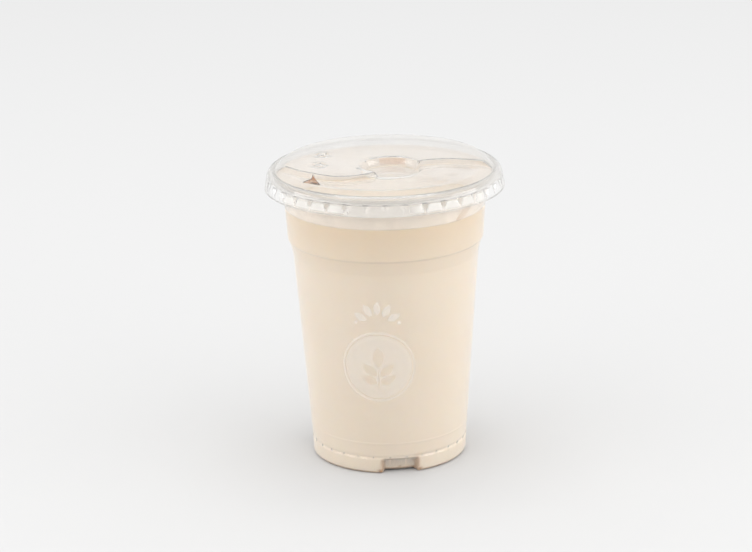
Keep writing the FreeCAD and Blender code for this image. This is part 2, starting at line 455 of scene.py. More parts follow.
@dataclass(frozen=True)
class FormedPet:
    """Clear PET sheet, vacuum formed: glossy and colourless, with soft draw ripples.

    The sheet mirrors the studio and bends what is behind its edges. A thin veil,
    denser where the sheet is seen aslant, gives it the slightly milky look of
    draw-thinned plastic. A misted sheet has a more uneven veil, and a bloom of
    fine droplets where its mesh's value "mist" is high.
    """

    name: str
    clarity: Clarity = Clarity.CLEAN
    tint: str = "ffffff"
    roughness: float = 0.05
    veil: float = 0.04
    edge_veil: float = 0.22
    edge_from: float = 0.07
    edge_to: float = 0.85
    # warm: light from the cream drink behind the veil, painted into its colour
    veil_colour: str = "efe7dd"
    ripple_mm: float = 9.0
    ripple_depth: float = 0.04
    ripple_rise_mm: float = 0.4
    cloud_mm: float = 16.0

    def build(self) -> bpy.types.Material:
        """Build a glass-like shader that lets lamplight through, under a veil.

        Returns:
            The material.
        """
        material, tree, output = blank_material(self.name)
        place = node(tree, "ShaderNodeTexCoord")
        ripple = node(tree, "ShaderNodeTexNoise", {"Scale": 1 / (self.ripple_mm * MM), "Detail": 2.0},
                      {"Vector": place.outputs["Object"]})
        bump = node(tree, "ShaderNodeBump",
                    {"Strength": self.ripple_depth, "Distance": self.ripple_rise_mm * MM},
                    {"Height": ripple.outputs["Fac"]})
        sheet = node(tree, "ShaderNodeBsdfPrincipled",
                     {"Base Color": linear(self.tint), "Roughness": self.roughness, "IOR": 1.5,
                      "Transmission Weight": 1.0}, {"Normal": bump.outputs["Normal"]})
        clear = node(tree, "ShaderNodeBsdfTransparent", {"Color": linear(self.tint)})
        path = node(tree, "ShaderNodeLightPath")
        shader = node(tree, "ShaderNodeMixShader", None,
                      {0: path.outputs["Is Shadow Ray"], 1: sheet.outputs[0], 2: clear.outputs[0]})
        mist = node(tree, "ShaderNodeBsdfDiffuse", {"Color": linear(self.veil_colour)})
        shader = node(tree, "ShaderNodeMixShader", None,
                      {0: self.haze(tree, place), 1: shader.outputs[0], 2: mist.outputs[0]})
        tree.links.new(shader.outputs[0], output.inputs["Surface"])
        return material

    def haze(self, tree: bpy.types.NodeTree, place: bpy.types.Node) -> bpy.types.NodeSocket:
        """Work out how much the veil covers.

        Args:
            tree: the sheet's tree.
            place: its texture coordinates.

        Returns:
            The socket that gives the veil's share.
        """
        facing = node(tree, "ShaderNodeLayerWeight", {"Blend": 0.5})
        aslant = node(tree, "ShaderNodeMapRange",
                      {"From Min": self.edge_from, "From Max": self.edge_to,
                       "To Min": self.veil, "To Max": self.edge_veil},
                      {"Value": facing.outputs["Facing"]})
        uneven = 0.3 if self.clarity is Clarity.MISTED else 0.08
        cloud = node(tree, "ShaderNodeTexNoise",
                     {"Scale": 1 / (self.cloud_mm * MM), "Detail": 3.0, "Roughness": 0.5},
                     {"Vector": place.outputs["Object"]})
        patch = node(tree, "ShaderNodeMapRange",
                     {"From Min": 0.35, "From Max": 0.7, "To Min": 1 - uneven, "To Max": 1 + uneven},
                     {"Value": cloud.outputs["Fac"]})
        share = node(tree, "ShaderNodeMath", {"operation": "MULTIPLY"},
                     {0: aslant.outputs["Result"], 1: patch.outputs["Result"]})
        if self.clarity is Clarity.MISTED:
            bloom = node(tree, "ShaderNodeAttribute", {"attribute_name": "mist"})
            share = node(tree, "ShaderNodeMath", {"operation": "MAXIMUM"},
                         {0: share.outputs[0], 1: bloom.outputs["Fac"]})
        return share.outputs[0]


@dataclass(frozen=True)
class MilkTea:
    """Milk tea: an opaque pale cream liquid, soft-edged, since light travels a little inside it.

    Faint clouds of milk drift in it, it is a little yellower towards its top, and
    it has painted shade, a browner colour, where its mesh's value "corner" is high.
    """

    name: str = "milk tea"
    colour: str = "f3e6d4"
    cloud: str = "f5e9d9"
    cloud_mm: float = 30.0
    top: str = "eedbbf"
    top_from_mm: float = 84.0
    top_to_mm: float = 108.0
    top_share: float = 0.75
    # painted shade: the brown for the contact shadow at the foot and the darkening behind its thick
    # corners
    foot_shade_colour: str = "b0804e"
    glow_mm: float = 2.5

    def build(self) -> bpy.types.Material:
        """Build the cream liquid with its clouds, its tints, its painted shade at the foot and a short
        inner glow.

        Returns:
            The material.
        """
        material, tree, output = blank_material(self.name)
        place = node(tree, "ShaderNodeTexCoord")
        swirl = node(tree, "ShaderNodeTexNoise",
                     {"Scale": 1 / (self.cloud_mm * MM), "Detail": 3.0, "Roughness": 0.5,
                      "Distortion": 0.6}, {"Vector": place.outputs["Object"]})
        tint = node(tree, "ShaderNodeMix",
                    {"data_type": "RGBA", 6: linear(self.colour), 7: linear(self.cloud)},
                    {0: swirl.outputs["Fac"]})
        axes = node(tree, "ShaderNodeSeparateXYZ", None, {0: place.outputs["Object"]})
        up = node(tree, "ShaderNodeMapRange",
                  {"From Min": self.top_from_mm * MM, "From Max": self.top_to_mm * MM,
                   "To Max": self.top_share}, {"Value": axes.outputs["Z"]})
        # painted shade at the foot, read from the mesh's value corner
        corner = node(tree, "ShaderNodeAttribute", {"attribute_name": "corner"})
        for share, colour in ((up.outputs["Result"], self.top), (corner.outputs["Fac"], self.foot_shade_colour)):
            tint = node(tree, "ShaderNodeMix", {"data_type": "RGBA", 7: linear(colour)},
                        {0: share, 6: tint.outputs[2]})
        liquid = node(tree, "ShaderNodeBsdfPrincipled",
                      {"Roughness": 0.28, "IOR": 1.34, "Subsurface Weight": 0.35,
                       "Subsurface Scale": self.glow_mm * MM, "Subsurface Radius": (1.0, 0.75, 0.5),
                       "Sheen Weight": 0.35, "Sheen Roughness": 0.45},
                      {"Base Color": tint.outputs[2]})
        tree.links.new(liquid.outputs[0], output.inputs["Surface"])
        return material


@dataclass(frozen=True)
class ScreenInk:
    """White screen-print ink: a thin matt layer, finely grained, that the drink shows through."""

    name: str
    cover: float
    colour: str = "ffffff"
    grain_mm: float = 0.8
    uneven: float = 0.06

    def build(self) -> bpy.types.Material:
        """Build thin white over what lies behind.

        Returns:
            The material.
        """
        material, tree, output = blank_material(self.name)
        place = node(tree, "ShaderNodeTexCoord")
        grain = node(tree, "ShaderNodeTexNoise", {"Scale": 1 / (self.grain_mm * MM), "Detail": 2.0},
                     {"Vector": place.outputs["Object"]})
        share = node(tree, "ShaderNodeMapRange",
                     {"To Min": self.cover * (1 - self.uneven), "To Max": self.cover * (1 + self.uneven)},
                     {"Value": grain.outputs["Fac"]})
        ink = node(tree, "ShaderNodeBsdfDiffuse", {"Color": linear(self.colour)})
        lay_over(tree, output, share.outputs["Result"], ink)
        return material


@dataclass(frozen=True)
class FilmForTeaAndShade:
    """A wet, see-through film, thinner and thicker in patches: a drying film of tea or milk, and in some
    places painted shade.
    """

    name: str
    colour: str
    cover: float
    patch_mm: float = 1.6
    roughness: float = 0.15
    uneven: float = 0.4

    def build(self) -> bpy.types.Material:
        """Build the glossy film over what lies behind, in uneven thickness.

        Returns:
            The material.
        """
        material, tree, output = blank_material(self.name)
        place = node(tree, "ShaderNodeTexCoord")
        pool = node(tree, "ShaderNodeTexNoise", {"Scale": 1 / (self.patch_mm * MM), "Detail": 3.0},
                    {"Vector": place.outputs["Object"]})
        share = node(tree, "ShaderNodeMapRange",
                     {"From Min": 0.3, "From Max": 0.7, "To Min": self.cover * (1 - self.uneven),
                      "To Max": min(1.0, self.cover * (1 + self.uneven))},
                     {"Value": pool.outputs["Fac"]})
        wet = node(tree, "ShaderNodeBsdfPrincipled",
                   {"Base Color": linear(self.colour), "Roughness": self.roughness, "IOR": 1.34})
        lay_over(tree, output, share.outputs["Result"], wet)
        return material


@dataclass(frozen=True)
class Matt:
    """Seamless studio paper: flat and pale, with the object's soft shadow."""

    name: str
    colour: str

    def build(self) -> bpy.types.Material:
        """Build plain matt paper.

        Returns:
            The material.
        """
        material, tree, output = blank_material(self.name)
        paper = node(tree, "ShaderNodeBsdfDiffuse", {"Color": linear(self.colour)})
        tree.links.new(paper.outputs[0], output.inputs["Surface"])
        return material


# ---------------------------------------------------------------------------
# the cup and the drink
# ---------------------------------------------------------------------------
@dataclass(frozen=True)
class PaintedFootShade:
    """Painted shade on the drink at the foot, from 0 to 1 at each place: contact shadow at its edges and
    notch, and darkening behind its thick corners.
    """

    notch_side: float = 0.72
    foot_edge: float = 0.85
    notch_nub: float = 0.7
    notch_foot: float = 0.9
    notch_back: float = 0.16


@dataclass
class Cup:
    """The clear tapered cup and its drink. Angles are in degrees, from the front to the right."""

    height: float = 123.4
    rim_radius: float = 47.8
    rim_section: float = 1.5
    roll_start: float = 175.0
    roll_step: float = 24.0
    roll_points: int = 14
    foot_radius: float = 32.7
    under_rise: float = 4.4
    sheet: float = 0.42
    sheet_grain: float = 5.0
    turns: int = 320
    groove: float = 7.2
    ring_at: float = 13.5
    ring_radius: float = 33.49
    nubs: int = 30
    nub_out: float = 0.6
    nub_wide: float = 0.5
    nub_tall: float = 0.55
    nub_reach: float = 1.4
    notch_count: int = 3
    notch_at: float = 7.6
    notch_half: float = 13.5
    notch_depth: float = 2.7
    notch_top: float = 6.3
    notch_lift: float = 0.9
    notch_inner: float = 0.35
    level: float = 108.4
    band_lean: float = 0.0714
    drink_in: float = 0.6
    drink_grain: float = 1.0
    meniscus: tuple[tuple[float, float], ...] = ((0.0, 0.35), (0.25, 0.1), (0.9, -0.12), (2.0, -0.2))
    # painted shade on the drink at the foot
    painted_foot_shade: PaintedFootShade = PaintedFootShade()

    def side(self) -> Line:
        """Draw the outside of the wall.

        Returns:
            The profile, from the underside's middle up to the rim.
        """
        foot, rim, top = self.foot_radius, self.rim_radius, self.height
        return rounded([
            # the raised underside
            (0.0, self.under_rise, 0.0), (foot - 6.7, self.under_rise, 1.0), (foot - 6.1, 3.8, 1.0),
            # the ring that it stands on
            (foot - 3.1, 0.0, 0.8), (foot - 0.8, 0.0, 1.2), (foot, 0.9, 1.0),
            # the groove above the foot
            (foot + 0.2, self.groove - 1.0, 0.6), (foot - 0.15, self.groove, 0.5),
            (foot + 0.3, self.groove + 1.0, 0.8),
            # the faint ring low on the wall
            (self.ring_radius - 0.14, self.ring_at - 0.6, 0.5), (self.ring_radius, self.ring_at, 0.5),
            (self.ring_radius - 0.07, self.ring_at + 0.6, 0.5),
            # the long taper's end and the step out to the stacking band
            (rim - 8.9, top - 35.0, 3.0), (rim - 7.5, top - 29.2, 0.4), (rim - 6.8, top - 28.3, 0.35),
            # the flare and the wall up to the rim
            (rim - 5.7, top - 11.4, 8.0), (rim - 2.85, top - 3.9, 2.5), (rim - 2.75, top - 1.4, 0.0),
        ])

    def rim_roll(self) -> Line:
        """Draw the rolled rim.

        Returns:
            An open curl that starts at the wall.
        """
        r, z, s = self.rim_radius - self.rim_section, self.height - self.rim_section, self.rim_section
        angles = [math.radians(self.roll_start - self.roll_step * k) for k in range(self.roll_points)]
        return [(r + s * math.cos(a), z + s * math.sin(a)) for a in angles]

    def wall_radius(self, z: float) -> float:
        """Work out the wall's outer radius above the faint ring.

        Args:
            z: the height.

        Returns:
            The radius there.
        """
        line = [p for p in self.side() if p[1] > self.ring_at + 0.5]
        for (r0, z0), (r1, z1) in zip(line, line[1:]):
            if z0 <= z <= z1:
                return r0 + (r1 - r0) * (z - z0) / (z1 - z0)
        return line[0][0]

    def raise_nub(self, p: Vector) -> Vector:
        """Raise the groove's small stacking nubs.

        Args:
            p: a point of the wall in millimetres.

        Returns:
            Its place on the wall with nubs.
        """
        up = p.z - self.groove
        if abs(up) > self.nub_reach:
            return p
        radius = math.hypot(p.x, p.y)
        across = math.radians(off_nearest(p, self.nubs)) * radius
        out = self.nub_out * hump(across, self.nub_wide) * hump(up, self.nub_tall)
        scale = 1 + out / radius
        return Vector((p.x * scale, p.y * scale, p.z)) if out > 0.01 else p

    def notch_off(self, p: Vector) -> float:
        """Return how many degrees a point lies from the middle of its nearest notch."""
        return off_nearest(p, self.notch_count, self.notch_at)

    def dent(self, p: Vector) -> Vector:
        """Press the foot's notches.

        Args:
            p: a point of the wall or the drink in millimetres.

        Returns:
            Its place with the notches pressed in.
        """
        radius = math.hypot(p.x, p.y)
        if p.z > self.notch_top + 0.6 or radius < self.foot_radius - 3.6:
            return p
        side = 1 - smooth(self.notch_half - 1.6, self.notch_half + 0.2, self.notch_off(p))
        up = 1 - smooth(self.notch_top - 1.0, self.notch_top + 0.5, p.z)
        outer = smooth(self.foot_radius - 3.4, self.foot_radius - 0.9, radius)
        share = self.notch_inner + (1 - self.notch_inner) * outer
        scale = (radius - self.notch_depth * side * up * share) / radius
        lift = self.notch_lift * side * (1 - smooth(0.0, 2.2, p.z)) * share
        return Vector((p.x * scale, p.y * scale, p.z + lift))

    def corner(self, p: Vector) -> float:
        """Work out the painted shade on the drink at the foot: contact shadow and darkening behind its
        thick corners.

        Args:
            p: a point of the drink in millimetres.

        Returns:
            From 0, as elsewhere, to 1, the painted shade's colour.
        """
        if p.z > self.notch_top + 0.8 or math.hypot(p.x, p.y) < self.foot_radius - 4.0:
            return 0.0
        off = self.notch_off(p)
        past = off - self.notch_half
        in_notch = past < -1.0
        below_top = 1 - smooth(self.notch_top - 0.6, self.notch_top + 0.6, p.z)
        # painted contact shadow beside the notch's corners, low down
        bulb = hump(past - 1.2, 2.2) * hump(p.z - 0.9, 0.9)
        return min(1.0, max(
            bulb,
            self.painted_foot_shade.notch_side * hump(past + 0.4, 1.5) * below_top,
            self.painted_foot_shade.foot_edge * (1 - smooth(0.5, 1.3, p.z)),
            self.painted_foot_shade.notch_nub * hump(off, 1.4) * hump(p.z - 2.2, 0.6),
            self.painted_foot_shade.notch_foot * (1 - smooth(1.2, 2.4, p.z)) * in_notch,
            self.painted_foot_shade.notch_back * (in_notch and p.z < self.notch_top)))

    def build_sheet(self, finish: bpy.types.Material) -> None:
        """Build the cup's thin wall with its curl, rings, groove and notched foot.

        Args:
            finish: the cup's clear plastic.
        """
        bm = spun(finer(self.side() + self.rim_roll(), self.sheet_grain), self.turns)
        move(bm, lambda p: self.dent(self.raise_nub(p)))
        wall = max(bm.faces, key=lambda f: f.calc_area())
        middle = wall.calc_center_median()
        face_out(bm, wall, Vector((middle.x, middle.y, 0)))
        finish_piece("cup_sheet", bm, finish, "cup", 50, self.sheet, outward=False)

    def inside(self, gap: float) -> Line:
        """Move the wall's line inwards.

        Args:
            gap: how far, square to the wall.

        Returns:
            The line inside the wall, from the underside's middle up to the rim.
        """
        line = self.side()
        moved: Line = []
        for i, (r, z) in enumerate(line):
            a, b = line[max(i - 1, 0)], line[min(i + 1, len(line) - 1)]
            along = Vector((b[0] - a[0], b[1] - a[1])).normalized()
            moved.append((max(0.0, r - along.y * gap) if i else 0.0, z + along.x * gap))
        return moved

    def build_drink(self, finish: bpy.types.Material) -> None:
        """Build the drink out to within the wall's sheet, so that no air shows between them.

        Args:
            finish: the drink's own.
        """
        line = [p for p in self.inside(self.sheet * self.drink_in) if p[1] < self.level - 0.5]
        edge = line[-1][0] + (self.level - line[-1][1]) * self.band_lean
        line += [(edge - inwards, self.level + up) for inwards, up in self.meniscus]
        line.append((0.0, line[-1][1]))
        bm = spun(finer(line, self.drink_grain), self.turns)
        move(bm, self.dent)
        # painted shade at the foot, for the drink's finish
        note(bm, "corner", self.corner)
        finish_piece("milk_tea", bm, finish, "drink", 50)


# ---------------------------------------------------------------------------
# the lid
# ---------------------------------------------------------------------------
@dataclass
class Lid:
    """The formed lid: fluted skirt, rounded shoulder, two decks, round recess and sip opening.

    The stops of the step between the decks are shares of the decks' radius. The
    lines are where the mesh follows the form: radii on the decks and about the
    recess, shares of the relief marks' size, and distances in front of the step.
    """

    sheet: float = 0.38
    lip_radius: float = 50.0
    floor: float = 116.3
    skirt: float = 49.2
    lean: float = 0.4
    skirt_grain: float = 0.5
    widest: float = 121.0
    ring_top: float = 124.4
    ring_radius: float = 46.85
    channel_radius: float = 46.1
    channel_floor: float = 124.02
    join_radius: float = 45.2
    deck_radius: float = 41.8
    deck_soft: float = 1.1
    front: float = 125.5
    rear: float = 127.5
    flutes: int = 38
    steps_per_flute: int = 10
    flute_depth: float = 1.1
    flute_top: float = 120.7
    flute_foot: float = 117.2
    flute_half: float = 0.2
    flute_least: float = 0.02
    flute_open: float = 1.5
    pad_bow: float = 0.16
    pad_mist: float = 0.5
    front_at: float = -3.0
    front_span: float = 17.0
    side_span: float = 59.0
    front_mist: float = 0.26
    shoulder_mist: float = 0.17
    step_soft: float = 0.75
    step_back: float = 0.35
    step_stops: tuple[tuple[float, float], ...] = (
        (-1.15, -0.01), (-1.0, -0.19), (-0.8, -0.42), (-0.48, -0.63), (-0.19, -0.575),
        (0.07, -0.335), (0.31, -0.12), (0.6, -0.045), (0.885, -0.11), (1.15, -0.22))
    steps_per_stop: int = 16
    well: tuple[float, float] = (2.4, -9.4)
    well_radius: float = 12.4
    well_floor_radius: float = 11.3
    well_depth: float = 1.5
    well_dome: float = 0.25
    well_dome_radius: float = 3.0
    sip_at: float = 44.6
    sip_corners: tuple[tuple[float, float], ...] = ((-3.8, 3.1), (3.8, -3.1), (0.4, 9.0))
    sip_round: float = 0.6
    sip_collar: float = 1.12
    marks: tuple[tuple[float, float], ...] = ((-25.9, 8.5), (-26.8, -7.7))
    mark_size: float = 2.6
    mark_tall: float = 1.25
    mark_sink: float = 0.5
    deck_lines: tuple[float, ...] = (44.2, 43.3, 42.7, 42.3, 41.8, 41.3, 40.8)
    well_lines: tuple[float, ...] = (10.4, 11.0, 11.4, 11.8, 12.2, 12.6, 13.0)
    mark_lines: tuple[float, ...] = (0.6, 0.8, 1.0, 1.2)
    step_lines: tuple[float, ...] = (-0.55, -0.3, -0.05, 0.2, 0.45, 0.7, 0.95, 1.25)
    deck_pitch: tuple[float, float] = (2.2, 1.95)
    curve: Outline = field(default_factory=list)

    def step_curve(self) -> Outline:
        """Draw the line between the decks as one smooth curve through its stops.

        Returns:
            The curve's points, from left to right.
        """
        stops = [Vector(stop) * self.deck_radius for stop in self.step_stops]
        points: Outline = []
        for i in range(len(stops) - 1):
            p0, p1 = stops[max(i - 1, 0)], stops[i]
            p2, p3 = stops[i + 1], stops[min(i + 2, len(stops) - 1)]
            for t in (k / self.steps_per_stop for k in range(self.steps_per_stop)):
                points.append(0.5 * (2 * p1 + (p2 - p0) * t + (2 * p0 - 5 * p1 + 4 * p2 - p3) * t * t
                                     + (3 * p1 - p0 - 3 * p2 + p3) * t ** 3))
        points.append(stops[-1])
        return points

    def beside_step(self, shift: float) -> Outline:
        """Draw a line beside the one between the decks.

        Args:
            shift: how far in front of it.

        Returns:
            The line's points that lie on the decks.
        """
        moved: Outline = []
        for i, p in enumerate(self.curve):
            a, b = self.curve[max(i - 1, 0)], self.curve[min(i + 1, len(self.curve) - 1)]
            along = (b - a).normalized()
            q = p + Vector((along.y, -along.x)) * shift
            if q.length < self.join_radius - 0.05:
                moved.append(q)
        return moved

    def ahead(self, here: Vector) -> float:
        """Measure how far a plan point lies in front of the line between the decks.

        Args:
            here: the plan point.

        Returns:
            The distance, negative behind the line.
        """
        best, sign = math.inf, 1.0
        for a, b in zip(self.curve, self.curve[1:]):
            along = b - a
            t = min(1.0, max(0.0, (here - a).dot(along) / along.length_squared))
            gap = here - (a + along * t)
            if gap.length < best:
                best = gap.length
                sign = 1.0 if along.x * gap.y - along.y * gap.x < 0 else -1.0
        return best * sign

    def deck(self, radius: float, top: float) -> float:
        """Work out a deck's height: flat, then a rounded edge and a slope to the channel.

        Args:
            radius: the distance from the axis.
            top: the height of the flat.

        Returns:
            The height at that radius.
        """
        slope = (top - self.channel_floor) / (self.channel_radius - 0.25 - self.deck_radius)
        past = radius - self.deck_radius
        if abs(past) < self.deck_soft:
            return top - slope * (past + self.deck_soft) ** 2 / (4 * self.deck_soft)
        return top - max(0.0, past) * slope

    def height(self, x: float, y: float) -> float:
        """Work out the height of the lid's outer face over a plan point of the decks.

        Args:
            x: the plan point's place to the right.
            y: its place to the rear.

        Returns:
            The height in millimetres.
        """
        radius = math.hypot(x, y)
        side = smooth(-self.step_soft, self.step_soft, self.ahead(Vector((x, y))) - self.step_back)
        top = self.deck(radius, self.rear) * (1 - side) + self.deck(radius, self.front) * side
        for mx, my in self.marks:
            reach = math.hypot(x - mx, (y - my) / self.mark_tall) / self.mark_size
            top -= self.mark_sink * (smooth(0.6, 0.85, reach) - smooth(0.95, 1.2, reach))
        away = math.hypot(x - self.well[0], y - self.well[1])
        sink = 1 - smooth(self.well_floor_radius - 0.3, self.well_radius + 0.5, away)
        dome = self.well_dome * (1 - smooth(0, self.well_dome_radius, away))
        return top * (1 - sink) + (self.front - self.well_depth + dome) * sink

    def below(self, p: Vector, depth: float = 0.0) -> Vector:
        """Return the place under the lid's outer face at a plan point, by a depth."""
        return Vector((p.x, p.y, self.height(p.x, p.y) - depth))

    def sip_outline(self) -> Outline:
        """Draw the sip opening, a triangle with rounded corners, on the front deck.

        Returns:
            Five points for each corner, from the left end of its base.
        """
        turn = math.radians(self.sip_at)
        base = Vector((-math.sin(turn), -math.cos(turn))) * self.deck_radius
        corners = [base + Vector(c) for c in self.sip_corners]
        out: Outline = []
        for i, c in enumerate(corners):
            a, b = corners[i - 1] - c, corners[(i + 1) % 3] - c
            reach = self.sip_round / math.tan(a.angle(b) / 2)
            out += bend(c + a.normalized() * reach, c, c + b.normalized() * reach, 4)
        return out

    def build_decks(self) -> bmesh.types.BMesh:
        """Build the decks' surface, with mesh lines along every edge of form.

        Returns:
            The surface in metres, open at the sip opening.
        """
        turns = self.flutes * self.steps_per_flute
        sip = self.sip_outline()
        closed = [ring((0, 0), self.join_radius, turns)]
        closed += [ring((0, 0), radius, turns // 2) for radius in self.deck_lines]
        closed += [ring(self.well, radius, 96) for radius in self.well_lines]
        closed += [ring(mark, self.mark_size * k, 28, self.mark_tall)
                   for mark in self.marks for k in self.mark_lines]
        closed += [sip, grown(sip, self.sip_collar)]
        lines = [self.beside_step(shift) for shift in self.step_lines]
        reach = int(self.join_radius / self.deck_pitch[0]) + 1
        rows = range(-reach, reach + 1)
        spots = spread((0, 0), self.deck_pitch, rows, rows, self.deck_pitch[0] / 2)
        return flat_sheet(closed, lines, [p for p in spots if p.length < self.deck_radius - 1.2],
                          lambda p: p.length < self.join_radius and not inside_outlines(p, [sip]),
                          self.below)

    def skirt_line(self) -> Line:
        """Draw the lid's outside from the lip up over the shoulder.

        Returns:
            The profile, as far as the channel's inner side.
        """
        lip, floor, skirt, channel = self.lip_radius, self.floor, self.skirt, self.channel_radius
        return finer(rounded([
            # the lip
            (lip - 0.35, floor, 0.0), (lip, floor + 0.12, 0.0), (lip, floor + 0.42, 0.0),
            # the fluted skirt
            (skirt + self.lean, floor + 0.75, 0.5), (skirt - 0.15, self.flute_top, 0.8),
            # the shoulder
            (skirt - 0.02, self.widest + 0.5, 2.0), (skirt - 1.0, self.widest + 2.6, 2.6),
            # the rim's ring and the channel inside it
            (self.ring_radius, self.ring_top, 0.5), (channel + 0.1, self.channel_floor, 0.3),
            (channel - 0.35, self.channel_floor, 0.3),
            (self.join_radius, self.deck(self.join_radius, self.front), 0.0),
        ], 6), self.skirt_grain)

    def pad_place(self, p: Vector) -> tuple[float, float, float]:
        """Place a skirt point among the flutes.

        Args:
            p: the point in millimetres.

        Returns:
            Its share of a flute's pitch from the nearest valley, half the valley's
            width as such a share, and its share of the valley's height.
        """
        off = off_nearest(p, self.flutes) * self.flutes / 360
        rise = min(1.0, max(0.0, (p.z - self.flute_foot) / (self.flute_top - self.flute_foot)))
        return off, self.flute_least + self.flute_half * rise ** self.flute_open, rise

    def flute(self, p: Vector) -> Vector:
        """Shape the skirt: bowed pads with pointed V valleys between them.

        Args:
            p: a point of the plain skirt in millimetres.

        Returns:
            Its place on the fluted one.
        """
        radius = math.hypot(p.x, p.y)
        if radius < self.ring_radius or p.z > self.flute_top + 0.6:
            return p
        off, width, rise = self.pad_place(p)
        fade = 1 - smooth(self.flute_top - 0.2, self.flute_top + 0.4, p.z)
        valley = max(0.0, 1 - off / width) * fade * rise
        across = (0.5 - off) / (0.5 - width * 0.5)
        pad = math.sqrt(max(0.0, 1 - across ** 2)) if off > width * 0.5 else 0.0
        bow = self.pad_bow * pad * fade * smooth(self.floor + 0.7, self.floor + 1.6, p.z)
        scale = (radius - self.flute_depth * valley + bow) / radius
        return Vector((p.x * scale, p.y * scale, p.z))

    def mist(self, p: Vector) -> float:
        """Work out the bloom of droplets: on the pads aside, and over pads and shoulder in front.

        Args:
            p: a point of the lid in millimetres.

        Returns:
            How much of the view it covers there.
        """
        if math.hypot(p.x, p.y) < self.ring_radius - 0.1:
            return 0.0
        off, width, _ = self.pad_place(p)
        low = 1 - smooth(self.flute_top - 0.6, self.flute_top, p.z)
        turn = abs(azimuth(p) - self.front_at)
        middle = 1 - smooth(self.front_span - 4, self.front_span + 5, turn)
        aside = (1 - middle) * (1 - smooth(self.side_span - 4, self.side_span, turn))
        on_pad = smooth(width * 0.9, width * 0.9 + 0.05, off)
        pads = self.pad_mist * smooth(self.floor + 0.7, self.floor + 1.3, p.z) * on_pad
        shoulder = self.shoulder_mist * (1 - smooth(self.front_span, self.side_span, turn))
        return (pads * aside + self.front_mist * middle) * low + shoulder * (1 - low)

    def build(self, finish: bpy.types.Material) -> None:
        """Build the lid's thin wall.

        Args:
            finish: the lid's clear plastic.
        """
        self.curve = self.step_curve()
        bm = spun(self.skirt_line(), self.flutes * self.steps_per_flute)
        move(bm, self.flute)
        move(bm, lambda p: self.below(p) if math.hypot(p.x, p.y) < self.channel_radius - 0.3 else p)
        decks = self.build_decks()
        patch = bpy.data.meshes.new("decks")
        decks.to_mesh(patch)
        decks.free()
        bm.from_mesh(patch)
        bpy.data.meshes.remove(patch)
        bmesh.ops.remove_doubles(bm, verts=bm.verts, dist=3 * WELD)
        face_out(bm, max(bm.faces, key=lambda f: f.calc_center_median().z), Vector((0, 0, 1)))
        note(bm, "mist", self.mist)
        finish_piece("lid_sheet", bm, finish, "lid", 60, self.sheet, outward=False)
